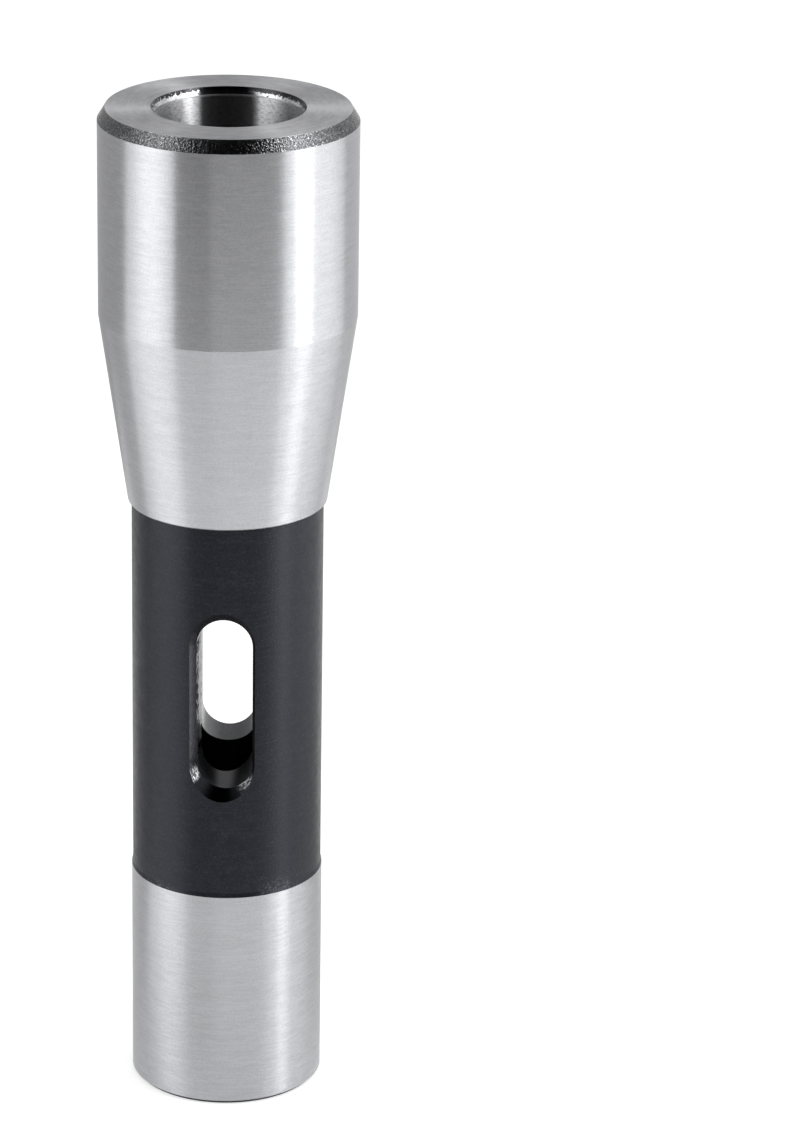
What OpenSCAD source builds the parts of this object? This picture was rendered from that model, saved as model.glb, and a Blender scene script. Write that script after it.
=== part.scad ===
// Adapter that carries a No. 2 morse taper tool in a milling spindle with a 16 degree 51 minute taper.
// One turned and ground bar: it stands on its rear face, and its axis is +Z.

/* [Spindle shank] */
// Length from the rear face to the gauge line, where the taper is widest
shank_l = 101.6; // [95:0.1:110]
// Diameter of the taper at the gauge line, and of the collar above it
gauge_d = 31.75; // [31:0.05:33]
// Included angle of the spindle taper, in degrees
taper_angle = 16.85; // [15:0.05:17.5]
// Length of the spindle taper along the axis
taper_l = 23.95; // [20:0.05:24.5]
// Width and height of the break round the taper's small end
taper_edge = 0.15; // [0.1:0.05:0.3]
// Diameter of the relief between the taper and the rear land
relief_d = 23.8; // [22.5:0.05:24]
// Diameter of the ground rear land
land_d = 24.1; // [24.05:0.01:24.5]
// Length of the ground rear land
land_l = 28.7; // [24:0.1:34]
// Length of the short ramp from the relief down to the land
land_ramp_l = 0.5; // [0.3:0.1:2]
// Width and height of the chamfer round the rear edge of the land
land_edge = 0.5; // [0.3:0.1:1.5]

/* [Collar] */
// Length of the collar, from the gauge line to the nose face
collar_l = 25.9; // [15:0.1:40]
// Height of the collar's edge chamfer along the axis
collar_edge_h = 1.55; // [0.5:0.05:3]
// Angle between that chamfer and the axis, in degrees
collar_edge_angle = 31.5; // [20:0.5:45]

/* [Tool socket] */
// Diameter of the socket at the nose face
socket_d = 17.78; // [16.5:0.01:18.5]
// Loss of diameter for each millimetre of depth
socket_taper = 0.04995; // [0.048:0.00005:0.053]
// Depth of the reamed socket from the nose face
socket_depth = 66.7; // [60:0.1:72]
// Angle of the drill point at the bottom of the socket, in degrees
drill_angle = 118; // [90:1:140]
// Diameter of the centring countersink at the nose face
mouth_d = 18.8; // [18.6:0.05:21]

/* [Drift slot] */
// Distance from the nose face to the near end of the slot
slot_from_nose = 62.1; // [58:0.1:66]
// Length of the slot along the axis, over its round ends
slot_l = 22.4; // [18:0.1:26]
// Width of the slot
slot_w = 6.9; // [6.5:0.05:8]
// Depth of the 45 degree break round the slot's mouths, at the crown of the relief
slot_break = 1.3; // [0.9:0.05:1.6]
// How far the front mouth's break runs off centre to the left
slot_break_side = 0.4; // [0:0.05:0.6]
// How far the front mouth's break runs off centre towards the rear
slot_break_drop = 0.1; // [0:0.05:0.4]

/* [Drawbar hole] */
// Tapping diameter of the drawbar thread
thread_d = 9.92; // [8.8:0.02:10.2]
// Depth of the thread from the rear face
thread_l = 32; // [20:0.5:38]
// Diameter of the hole from the thread up to the socket
clear_d = 10.3; // [10.2:0.05:12]
// Diameter of the centring countersink at the rear face
rear_mouth_d = 12.2; // [11.4:0.1:14]
// Included angle of the countersinks in both end faces, in degrees
centre_angle = 60; // [50:1:90]

/* [Keyway] */
// Width of the keyway
key_w = 4; // [3:0.05:5]
// Depth of the keyway below the rear land
key_depth = 2.4; // [1.5:0.1:3]
// Length of the keyway from the rear face to its round end
key_l = 31.8; // [18:0.1:36]

/* [Finish] */
// Colour of the ground surfaces
ground_colour = "silver"; // [silver, lightgray, gainsboro]
// Colour of the oxidised surfaces
oxide_colour = "dimgray"; // [dimgray, darkslategray, black]

/* [Hidden] */
$fn = 128;

overall_l = shank_l + collar_l;
taper_base_z = shank_l - taper_l;
taper_slope = tan(taper_angle / 2);
taper_base_d = gauge_d - 2 * (taper_l - taper_edge) * taper_slope;
nose_face_d = gauge_d - 2 * collar_edge_h * tan(collar_edge_angle);
socket_end_z = overall_l - socket_depth;
socket_end_d = socket_d - socket_depth * socket_taper;
drill_point_h = (socket_end_d - clear_d) / 2 / tan(drill_angle / 2);
centre_slope = tan(centre_angle / 2);
slot_middle_z = overall_l - slot_from_nose - slot_l / 2;
slot_run = slot_l - slot_w;
slot_reach = slot_w / 2 + slot_break;
key_floor_y = land_d / 2 - key_depth;
key_round_z = key_l - key_w / 2;
// How far a cutting shape runs past the surface that it opens
overrun = 1;

// A round length of the bar between two heights, with its own diameter at each
module turned(z0, z1, d0, d1) {
    translate([0, 0, z0]) cylinder(h = z1 - z0, d1 = d0, d2 = d1);
}

// The ground cylinder that runs in the rear of the spindle's bore
module rear_land() {
    color(oxide_colour) turned(0, land_edge, land_d - 2 * land_edge, land_d);
    color(ground_colour) turned(land_edge, land_l, land_d, land_d);
}

// The thinner length between the land and the taper, with its short ramp down to the land
module relief() {
    color(oxide_colour) {
        turned(land_l, land_l + land_ramp_l, land_d, relief_d);
        turned(land_l + land_ramp_l, taper_base_z, relief_d, relief_d);
    }
}

// The cone that seats in the spindle's nose
module spindle_taper() {
    color(ground_colour) {
        turned(taper_base_z, taper_base_z + taper_edge, taper_base_d - 2 * taper_edge, taper_base_d);
        turned(taper_base_z + taper_edge, shank_l, taper_base_d, gauge_d);
    }
}

// The head above the gauge line, with its chamfered nose
module collar() {
    color(ground_colour) {
        turned(shank_l, overall_l - collar_edge_h, gauge_d, gauge_d);
        turned(overall_l - collar_edge_h, overall_l, gauge_d, nose_face_d);
    }
}

// A countersink of diameter d in a face at z = 0, cut along -Z and left open above the face
module centre_cut(d) {
    cone_h = d / 2 / centre_slope;
    translate([0, 0, -cone_h]) cylinder(h = cone_h + overrun, d1 = 0, d2 = d + 2 * overrun * centre_slope);
}

// The tapered hole that grips the tool's shank, with the point that its drill left
module morse_socket_cut() {
    color(ground_colour) {
        turned(socket_end_z, overall_l + overrun, socket_end_d, socket_d + overrun * socket_taper);
        turned(socket_end_z - drill_point_h, socket_end_z, clear_d, socket_end_d);
        translate([0, 0, overall_l]) centre_cut(mouth_d);
    }
}

// The hole that the drawbar screws into, which opens into the socket
module drawbar_cut() {
    color(oxide_colour) {
        turned(-overrun, thread_l, thread_d, thread_d);
        turned(thread_l, socket_end_z, clear_d, clear_d);
        mirror([0, 0, 1]) centre_cut(rear_mouth_d);
    }
}

// Outline of the drift slot, drawn along Y
module slot_outline() {
    square([slot_w, slot_run], center = true);
    for (end = [-1, 1]) translate([0, end * slot_run / 2]) circle(d = slot_w);
}

// The path of a 90 degree countersink that breaks a slot's mouth: the mouth is at z = 0, and it runs along Y
module slot_break_cut() {
    outer = slot_reach + overrun;
    for (end = [-1, 1]) translate([0, end * slot_run / 2, -slot_reach])
        cylinder(h = outer, r1 = 0, r2 = outer);
    rotate([90, 0, 0]) linear_extrude(height = slot_run, center = true)
        polygon([[0, -slot_reach], [outer, overrun], [-outer, overrun]]);
}

// The slot through which a drift ejects the tool, with both mouths broken
module drift_slot_cut() {
    color(oxide_colour) translate([0, 0, slot_middle_z]) {
        rotate([90, 0, 0]) linear_extrude(height = relief_d + 2 * overrun, center = true) slot_outline();
        translate([-slot_break_side, -relief_d / 2, -slot_break_drop]) rotate([90, 0, 0]) slot_break_cut();
        translate([0, relief_d / 2, 0]) rotate([-90, 0, 0]) slot_break_cut();
    }
}

// Outline of the keyway, drawn along Y from past the rear face up to its round end
module keyway_outline() {
    translate([-key_w / 2, -overrun]) square([key_w, key_round_z + overrun]);
    translate([0, key_round_z]) circle(d = key_w);
}

// The groove at the back of the land that slides over the spindle's key
module keyway_cut() {
    color(oxide_colour) translate([0, key_floor_y + key_depth + overrun, 0])
        rotate([90, 0, 0]) linear_extrude(height = key_depth + overrun) keyway_outline();
}

module adapter_body() {
    difference() {
        union() {
            rear_land();
            relief();
            spindle_taper();
            collar();
        }
        morse_socket_cut();
        drawbar_cut();
        drift_slot_cut();
        keyway_cut();
    }
}

adapter_body();
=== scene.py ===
"""A one-piece spindle adapter of ground and oxidised steel, standing on a pale floor in soft studio light.

Lengths in the classes below are millimetres; meshes, lamps and the camera are placed in metres.
Heights run from the rear face that the bar stands on, and the drift slot's front mouth faces -Y.
"""

import logging
import math
from collections.abc import Callable, Mapping, Sequence
from dataclasses import dataclass, field
from enum import Enum, IntEnum
from typing import Any

import bmesh
import bpy
import numpy as np
from mathutils import Matrix, Vector


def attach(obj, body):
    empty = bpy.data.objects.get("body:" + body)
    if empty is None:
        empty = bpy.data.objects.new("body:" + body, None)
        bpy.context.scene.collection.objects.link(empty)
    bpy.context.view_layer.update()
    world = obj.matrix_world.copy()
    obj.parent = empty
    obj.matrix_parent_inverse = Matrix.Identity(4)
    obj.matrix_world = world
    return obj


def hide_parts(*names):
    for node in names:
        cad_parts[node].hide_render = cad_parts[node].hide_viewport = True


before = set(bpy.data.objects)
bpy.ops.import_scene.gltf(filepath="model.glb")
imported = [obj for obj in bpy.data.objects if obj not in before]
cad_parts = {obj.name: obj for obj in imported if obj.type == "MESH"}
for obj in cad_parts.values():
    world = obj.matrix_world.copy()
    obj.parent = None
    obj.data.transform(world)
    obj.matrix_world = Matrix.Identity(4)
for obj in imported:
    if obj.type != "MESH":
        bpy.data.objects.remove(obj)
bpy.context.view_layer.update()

MM = 0.001
# The turn of the grain, as a share of a full turn, that blurs a metal's highlights along the bar
GRAIN_ROUND = 0.25
log = logging.getLogger("adapter")

Number = float | int
Colour = tuple[float, float, float]
Points = np.ndarray


class Surface(IntEnum):
    """The finish of a stretch of the bar; the value is the index of its material."""

    GROUND = 0
    OXIDE = 1
    CHATTER = 2
    FACED = 3
    MOUTH = 4
    REAMED = 5
    MILLED = 6
    BROKEN = 7
    HONED = 8


class Side(IntEnum):
    """Which half of the bar a grid belongs to, seen from the slot's front mouth."""

    LEFT = -1
    RIGHT = 1


class Operation(str, Enum):
    """The Math node operations that the shader arithmetic uses."""

    ADD = "ADD"
    SUBTRACT = "SUBTRACT"
    MULTIPLY = "MULTIPLY"
    DIVIDE = "DIVIDE"
    POWER = "POWER"
    MINIMUM = "MINIMUM"
    MAXIMUM = "MAXIMUM"
    ARCTAN2 = "ARCTAN2"
    COSINE = "COSINE"
    ABSOLUTE = "ABSOLUTE"
    SQRT = "SQRT"


class Value:
    """One number in a shader tree, with the arithmetic that adds Math nodes to it."""

    def __init__(self, graph: "Graph", socket: bpy.types.NodeSocket) -> None:
        """Wraps a socket.

        Args:
            graph: The shader tree that the socket belongs to.
            socket: An output socket that gives one number.
        """
        self.graph = graph
        self.socket = socket

    def _with(self, operation: Operation, *others: "Value | Number", swap: bool = False) -> "Value":
        """Adds a Math node.

        Args:
            operation: What the node works out.
            others: The node's other inputs.
            swap: True to put this value second.

        Returns:
            The node's result.
        """
        inputs = [self, *others]
        if swap:
            inputs.reverse()
        node = self.graph.node("ShaderNodeMath", {"operation": operation.value}, dict(enumerate(inputs)))
        return Value(self.graph, node.outputs[0])

    def __add__(self, other: "Value | Number") -> "Value":
        """Returns self + other."""
        return self._with(Operation.ADD, other)

    def __radd__(self, other: Number) -> "Value":
        """Returns other + self."""
        return self._with(Operation.ADD, other)

    def __sub__(self, other: "Value | Number") -> "Value":
        """Returns self - other."""
        return self._with(Operation.SUBTRACT, other)

    def __rsub__(self, other: Number) -> "Value":
        """Returns other - self."""
        return self._with(Operation.SUBTRACT, other, swap=True)

    def __mul__(self, other: "Value | Number") -> "Value":
        """Returns self * other."""
        return self._with(Operation.MULTIPLY, other)

    def __rmul__(self, other: Number) -> "Value":
        """Returns other * self."""
        return self._with(Operation.MULTIPLY, other)

    def __truediv__(self, other: "Value | Number") -> "Value":
        """Returns self / other."""
        return self._with(Operation.DIVIDE, other)

    def __pow__(self, other: "Value | Number") -> "Value":
        """Returns self raised to other."""
        return self._with(Operation.POWER, other)

    def cosine(self) -> "Value":
        """Returns the cosine."""
        return self._with(Operation.COSINE)

    def root(self) -> "Value":
        """Returns the square root."""
        return self._with(Operation.SQRT)

    def absolute(self) -> "Value":
        """Returns the value without its sign."""
        return self._with(Operation.ABSOLUTE)

    def angle_from(self, across: "Value") -> "Value":
        """Returns the angle whose tangent is self / across, in radians."""
        return self._with(Operation.ARCTAN2, across)

    def at_least(self, other: "Value | Number") -> "Value":
        """Returns the larger of self and other."""
        return self._with(Operation.MAXIMUM, other)

    def at_most(self, other: "Value | Number") -> "Value":
        """Returns the smaller of self and other."""
        return self._with(Operation.MINIMUM, other)

    def ramp(self, low: Number, high: Number, start: Number = 0.0, end: Number = 1.0) -> "Value":
        """Maps a stretch of the value smoothly to another.

        Args:
            low: Where the result is start.
            high: Where the result is end.
            start: The result at and below low.
            end: The result at and above high.

        Returns:
            The mapped value.
        """
        settings = {"interpolation_type": "SMOOTHSTEP"}
        node = self.graph.node("ShaderNodeMapRange", settings, {0: self, 1: low, 2: high, 3: start, 4: end})
        return Value(self.graph, node.outputs[0])

    def swing(self, low: Number, high: Number, middle: Number, reach: Number) -> "Value":
        """Returns middle less reach where self is low, and middle plus reach where it is high."""
        return self.ramp(low, high, middle - reach, middle + reach)


class Graph:
    """The shader tree of a material, a lamp or the world."""

    def __init__(self, name: str = "", owner: bpy.types.ID | None = None) -> None:
        """Starts an empty tree.

        Args:
            name: The name of the new material that it is for.
            owner: The world or lamp that it is for instead.
        """
        self.material = owner or bpy.data.materials.new(name)
        self.material.use_nodes = True
        self.tree = self.material.node_tree
        self.tree.nodes.clear()
        self._places: dict[str, Value] = {}

    def node(self, kind: str, settings: Mapping[str, Any], sockets: Mapping[Any, Any]) -> bpy.types.Node:
        """Adds a node.

        Args:
            kind: The node's type.
            settings: Its properties, set before its sockets.
            sockets: Input name or number to a Value, a socket to link, or a constant.

        Returns:
            The new node.
        """
        made = self.tree.nodes.new(kind)
        for name, setting in settings.items():
            setattr(made, name, setting)
        for key, given in sockets.items():
            target = made.inputs[key]
            source = given.socket if isinstance(given, Value) else given
            if isinstance(source, bpy.types.NodeSocket):
                self.tree.links.new(source, target)
            else:
                target.default_value = source
        return made

    def place(self) -> bpy.types.NodeSocket:
        """Finds the point that is shaded.

        Returns:
            The point on the bar in millimetres, as a vector.
        """
        at = self.node("ShaderNodeTexCoord", {}, {})
        sockets = {0: at.outputs["Object"], "Scale": 1 / MM}
        return self.node("ShaderNodeVectorMath", {"operation": "SCALE"}, sockets).outputs[0]

    def axes(self) -> tuple[Value, Value, Value]:
        """Splits the point that is shaded, once for the whole tree.

        Returns:
            The point's x, y and z in millimetres.
        """
        if not self._places:
            split = self.node("ShaderNodeSeparateXYZ", {}, {0: self.place()})
            self._places = {axis: Value(self, split.outputs[axis]) for axis in "XYZ"}
        return self._places["X"], self._places["Y"], self._places["Z"]

    def vector(self, x: "Value | Number", y: "Value | Number", z: "Value | Number") -> bpy.types.NodeSocket:
        """Returns a vector of three values."""
        return self.node("ShaderNodeCombineXYZ", {}, {0: x, 1: y, 2: z}).outputs[0]

    def stretched(self, pace: tuple[float, float, float]) -> bpy.types.NodeSocket:
        """Returns the point in millimetres, with each axis multiplied by its own pace."""
        x, y, z = self.axes()
        return self.vector(x * pace[0], y * pace[1], z * pace[2])

    def turning(self, along: Number, across: Number) -> bpy.types.NodeSocket:
        """Gives coordinates in which noise becomes the lines that a turned or ground surface has.

        Args:
            along: How fast the lines change along their length, for each millimetre.
            across: How fast they change from line to line, for each millimetre.

        Returns:
            A vector for a Noise node. It runs round the bar without a seam.
        """
        x, y, z = self.axes()
        radius = (x * x + y * y).root()
        return self.vector(x * along, y * along, (z + radius) * across)

    def noise(
        self, at: bpy.types.NodeSocket, scale: Number, detail: Number = 2.0, rough: Number = 0.5
    ) -> Value:
        """Adds a noise.

        Args:
            at: The vector that it is taken at.
            scale: How fine it is.
            detail: How many finer layers it has.
            rough: How strong the finer layers are.

        Returns:
            A value from about 0 to 1.
        """
        sockets = {"Vector": at, "Scale": scale, "Detail": detail, "Roughness": rough}
        return Value(self, self.node("ShaderNodeTexNoise", {}, sockets).outputs[0])

    def cells(self, at: bpy.types.NodeSocket, scale: Number) -> Value:
        """Returns the distance to the nearest of a scatter of points."""
        scatter = self.node("ShaderNodeTexVoronoi", {}, {"Vector": at, "Scale": scale})
        return Value(self, scatter.outputs["Distance"])

    def mixed(self, share: Value, low: Colour | bpy.types.NodeSocket, high: Colour) -> bpy.types.NodeSocket:
        """Mixes two colours.

        Args:
            share: How much of the second colour there is, from 0 to 1.
            low: The first colour.
            high: The second colour.

        Returns:
            The mixed colour.
        """
        start = low if isinstance(low, bpy.types.NodeSocket) else (*low, 1.0)
        sockets = {"Factor": share, 6: start, 7: (*high, 1.0)}
        return self.node("ShaderNodeMix", {"data_type": "RGBA"}, sockets).outputs[2]

    def background_rays(self) -> tuple[Value, Value]:
        """Tells the rays apart that see the background.

        Returns:
            1 for camera rays and otherwise 0, and 1 for glossy and transmission rays and otherwise 0.
        """
        path = self.node("ShaderNodeLightPath", {}, {})
        camera, glossy, through = (
            Value(self, path.outputs[f"Is {kind} Ray"]) for kind in ("Camera", "Glossy", "Transmission")
        )
        return camera, glossy.at_least(through)

    def relief(
        self, height: Value, depth: Number, under: bpy.types.NodeSocket | None = None
    ) -> bpy.types.NodeSocket:
        """Bends the surface's normal.

        Args:
            height: The relief, from 0 to 1.
            depth: What a height of 1 stands for, in millimetres.
            under: The normal of a coarser relief below this one.

        Returns:
            The bent normal.
        """
        sockets: dict[str, Any] = {"Height": height, "Distance": depth * MM, "Strength": 1.0}
        if under is not None:
            sockets["Normal"] = under
        return self.node("ShaderNodeBump", {}, sockets).outputs[0]

    def finish(self, sockets: Mapping[str, Any]) -> bpy.types.Material:
        """Ends the tree in one surface shader.

        Args:
            sockets: The shader's input name to a Value, a socket to link, or a constant.

        Returns:
            The material that the tree is for.
        """
        shader = self.node("ShaderNodeBsdfPrincipled", {}, sockets)
        self.node("ShaderNodeOutputMaterial", {}, {"Surface": shader.outputs[0]})
        return self.material


@dataclass(frozen=True)
class GroundSteel:
    """Steel ground between centres, with fine lines that run round the bar."""

    name: str = "ground_steel"
    tint: Colour = (0.585, 0.588, 0.612)
    shade: Colour = (0.475, 0.478, 0.498)
    contrast: tuple[float, float] = (0.39, 0.61)
    roughness: float = 0.316
    roughness_swing: float = 0.04
    grain: float = 0.93
    line_pace: tuple[float, float] = (0.45, 6.0)
    line_depth: float = 0.0012
    band_pace: tuple[float, float] = (0.2, 1.4)
    wave_pace: tuple[float, float] = (0.8, 1.1)
    wave_depth: float = 0.006
    grit_scale: float = 5.0

    def make(self) -> bpy.types.Material:
        """Makes the finish.

        Returns:
            The new material.
        """
        graph = Graph(self.name)
        fine = graph.noise(graph.turning(*self.line_pace), 1.0, 3.0, 0.7)
        broad = graph.noise(graph.turning(*self.band_pace), 1.0)
        grit = graph.noise(graph.place(), self.grit_scale, rough=0.65)
        waves = graph.noise(graph.turning(*self.wave_pace), 1.0, 1.0)
        tone = (fine * 0.45 + broad * 0.15 + grit * 0.4).ramp(*self.contrast)
        bent = graph.relief(waves, self.wave_depth)
        return graph.finish(
            {
                "Base Color": graph.mixed(tone, self.shade, self.tint),
                "Metallic": 1.0,
                "Roughness": fine.swing(0.2, 0.8, self.roughness, self.roughness_swing),
                "Anisotropic": self.grain,
                "Anisotropic Rotation": GRAIN_ROUND,
                "Normal": graph.relief(fine, self.line_depth, bent),
            }
        )


@dataclass(frozen=True)
class BlackOxide:
    """The blackened, satin skin of surfaces that were left as turned, with worn flecks and two patches of
    painted glints above the land.
    """

    name: str = "black_oxide"
    tint: Colour = (0.0025, 0.0031, 0.0053)
    worn: Colour = (0.0250, 0.0265, 0.0330)
    sheen: Colour = (0.92, 0.96, 1.12)
    gloss: float = 0.38
    roughness: float = 0.37
    roughness_swing: float = 0.04
    grain: float = 0.9
    line_pace: tuple[float, float] = (0.3, 5.0)
    mottle_scale: float = 0.9
    grit_scale: float = 4.0
    tear: float = 0.04
    bare: Colour = (0.16, 0.162, 0.170)
    fleck_scale: float = 0.6
    fleck_size: tuple[float, float] = (0.03, 0.07)
    flecked: float = 0.15
    foot_z: float = 28.8
    rubbed_and_glinting: tuple[tuple[float, float, float], ...] = ((6.6, 3.2, 31.8), (-8.0, 2.6, 29.9))

    def make(self) -> bpy.types.Material:
        """Makes the finish.

        Returns:
            The new material.
        """
        graph = Graph(self.name)
        place = graph.place()
        mottle = graph.noise(place, self.mottle_scale, 4.0, 0.6)
        grit = graph.noise(place, self.grit_scale, rough=0.7)
        lines = graph.noise(graph.turning(*self.line_pace), 1.0, rough=0.6)
        x, _, z = graph.axes()
        rubbed_and_glinting = graph.cells(place, self.fleck_scale).ramp(*self.fleck_size, 1.0, 0.0) * self.flecked
        # The scattered flecks are wear; the two patches of bare specks above the land sit where the lamps'
        # bands cross the relief, and are painted glints.
        for middle, reach, top in self.rubbed_and_glinting:
            near = (x - middle).absolute().ramp(reach * 0.3, reach, 1.0, 0.0)
            near = near * z.ramp(self.foot_z, top, 1.0, 0.0)
            rubbed_and_glinting = rubbed_and_glinting.at_least(near * mottle.ramp(0.35, 0.6) * grit.ramp(0.42, 0.62, 0.0, 0.6))
        tone = grit.ramp(0.4, 0.7) * 0.65 + lines.ramp(0.4, 0.7) * 0.35 - 0.25
        skin = graph.mixed(tone, self.tint, self.worn)
        return graph.finish(
            {
                "Base Color": graph.mixed(rubbed_and_glinting, skin, self.bare),
                "Metallic": 0.0,
                "Roughness": mottle.swing(0.3, 0.7, self.roughness, self.roughness_swing),
                "Specular IOR Level": self.gloss,
                "Specular Tint": (*self.sheen, 1.0),
                "Anisotropic": self.grain,
                "Anisotropic Rotation": GRAIN_ROUND,
                "Normal": graph.relief(lines * 0.4 + grit * 0.6, self.tear),
            }
        )


@dataclass(frozen=True)
class ChatteredOxide:
    """A blackened chamfer that the tool chattered over, so that it sparkles under the lamps."""

    name: str = "chattered_oxide"
    shade: Colour = (0.07, 0.0705, 0.074)
    tint: Colour = (0.19, 0.1915, 0.2)
    bare: Colour = (0.45, 0.453, 0.47)
    roughness: float = 0.2
    bead_scale: float = 3.8
    sparkle_scale: float = 5.5
    patch_scale: float = 1.6
    nick_scale: float = 2.2
    nick_reach: tuple[float, float] = (0.02, 0.18)
    depth: float = 0.075
    edge_z: tuple[float, float] = (125.95, 127.5)

    def make(self) -> bpy.types.Material:
        """Makes the finish.

        Returns:
            The new material.
        """
        graph = Graph(self.name)
        _, _, z = graph.axes()
        place = graph.place()
        beads = graph.noise(place, self.bead_scale, 1.5, 0.6)
        sparkle = graph.noise(place, self.sparkle_scale, 1.0, 0.6).ramp(0.43, 0.6)
        patches = graph.noise(place, self.patch_scale, rough=0.6)
        low, high = self.edge_z
        from_edge = (z - low).at_most(high - z)
        nicks = graph.noise(place, self.nick_scale, rough=0.6).ramp(0.6, 0.66)
        nicks = from_edge.ramp(*self.nick_reach, 1.0, 0.0) * nicks
        bare = (beads.ramp(0.56, 0.68) * patches.ramp(0.3, 0.55) * 0.6 + nicks).at_most(1.0)
        skin = graph.mixed(sparkle, self.shade, self.tint)
        return graph.finish(
            {
                "Base Color": graph.mixed(bare, skin, self.bare),
                "Metallic": 1.0,
                "Roughness": self.roughness,
                "Normal": graph.relief(beads, self.depth),
            }
        )


@dataclass(frozen=True)
class FacedSteel:
    """The nose face, faced on the lathe: rings round the socket, and a fan of light painted into its colour,
    standing in for the light that the rings throw.

    Each ray of the painted fan is the angle of its middle in degrees, its sharpness and its gain; a negative
    gain paints shade.
    """

    name: str = "faced_steel"
    tint: Colour = (0.74, 0.743, 0.77)
    shade: Colour = (0.38, 0.382, 0.397)
    roughness: float = 0.3
    roughness_swing: float = 0.03
    grain: float = 0.9
    ring_pace: tuple[float, float] = (0.15, 7.0)
    ring_depth: float = 0.002
    blotch_pace: tuple[float, float] = (0.5, 1.5)
    grit_scale: float = 3.0
    painted_fan: tuple[tuple[float, float, float], ...] = (
        (188.0, 90.0, 0.70),
        (128.0, 60.0, 0.40),
        (158.0, 90.0, -0.15),
        (0.0, 60.0, 0.80),
        (35.0, 60.0, -0.15),
        (-66.0, 60.0, 0.40),
        (212.0, 60.0, -0.12),
        (72.0, 50.0, 0.25),
    )

    def make(self) -> bpy.types.Material:
        """Makes the finish.

        Returns:
            The new material.
        """
        graph = Graph(self.name)
        x, y, _ = graph.axes()
        angle = y.angle_from(x)
        rings = graph.noise(graph.turning(*self.ring_pace), 1.0, 3.0, 0.6)
        blotches = graph.noise(graph.turning(*self.blotch_pace), 1.0, rough=0.6)
        grit = graph.noise(graph.place(), self.grit_scale, rough=0.6)
        tone = rings + blotches * 0.9 + grit * 0.4 - 0.85
        # Each lobe paints a highlight, or with a negative gain a shade, into the face's colour.
        for middle, sharpness, gain in self.painted_fan:
            painted_lobe = (angle - math.radians(middle)).cosine().at_least(0.0) ** sharpness
            tone = tone + painted_lobe * gain
        return graph.finish(
            {
                "Base Color": graph.mixed(tone, self.shade, self.tint),
                "Metallic": 1.0,
                "Roughness": rings.swing(0.2, 0.8, self.roughness, self.roughness_swing),
                "Anisotropic": self.grain,
                "Anisotropic Rotation": GRAIN_ROUND,
                "Normal": graph.relief(rings, self.ring_depth),
            }
        )


@dataclass(frozen=True)
class ReamedSteel:
    """The bright, slightly torn steel of the reamed socket, its countersunk mouth and the ring between, with
    painted shade deeper in the socket and a painted dark reflection in the middle of its back wall.
    """

    name: str = "reamed_steel"
    tint: Colour = (0.88, 0.883, 0.90)
    shade: Colour = (0.045, 0.045, 0.048)
    roughness: float = 0.34
    grain: float = 1.0
    tear: float = 0.004
    tear_scale: float = 5.0
    stroke: float = 0.4
    streak_share: float = 0.35
    pits: float = 0.0
    pit_scale: float = 3.2
    pitted_z: tuple[float, float] = (126.8, 127.3)
    pitted_x: tuple[float, float] = (1.0, 5.0)
    painted_depth_shade_z: tuple[float, float] = (121.3, 123.0)
    dark_reflection_left: tuple[float, float] = (-4.1, -3.3)
    dark_reflection_right: tuple[float, float] = (2.4, 3.6)
    dark_reflection_y: tuple[float, float] = (0.0, 2.0)
    dark_reflection_share: float = 0.5

    def make(self) -> bpy.types.Material:
        """Makes the finish.

        Returns:
            The new material.
        """
        graph = Graph(self.name)
        x, y, z = graph.axes()
        torn = graph.noise(graph.vector(x * self.stroke, y * self.stroke, z), self.tear_scale, rough=0.6)
        # A patch in the middle of the socket's back wall is painted darker: a painted dark reflection.
        painted_dark_reflection = x.ramp(*self.dark_reflection_left) * x.ramp(*self.dark_reflection_right, 1.0, 0.0) * y.ramp(*self.dark_reflection_y)
        pitted = graph.noise(graph.place(), self.pit_scale, rough=0.6) + z.ramp(*self.pitted_z, -0.2, 0.14)
        pitted = (pitted + x.ramp(*self.pitted_x, 0.0, 0.1)).ramp(0.5, 0.56)
        streaked = torn.ramp(0.3, 0.6) * self.streak_share * (1.0 - painted_dark_reflection * 0.8)
        # Lower in the socket the colour falls to the dark shade: painted shade deeper down.
        bright = z.ramp(*self.painted_depth_shade_z) - self.streak_share + streaked
        tone = bright - pitted * self.pits - painted_dark_reflection * self.dark_reflection_share
        return graph.finish(
            {
                "Base Color": graph.mixed(tone, self.shade, self.tint),
                "Metallic": 1.0,
                "Roughness": self.roughness,
                "Anisotropic": self.grain,
                "Anisotropic Rotation": GRAIN_ROUND,
                "Normal": graph.relief(torn, self.tear),
            }
        )


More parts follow.
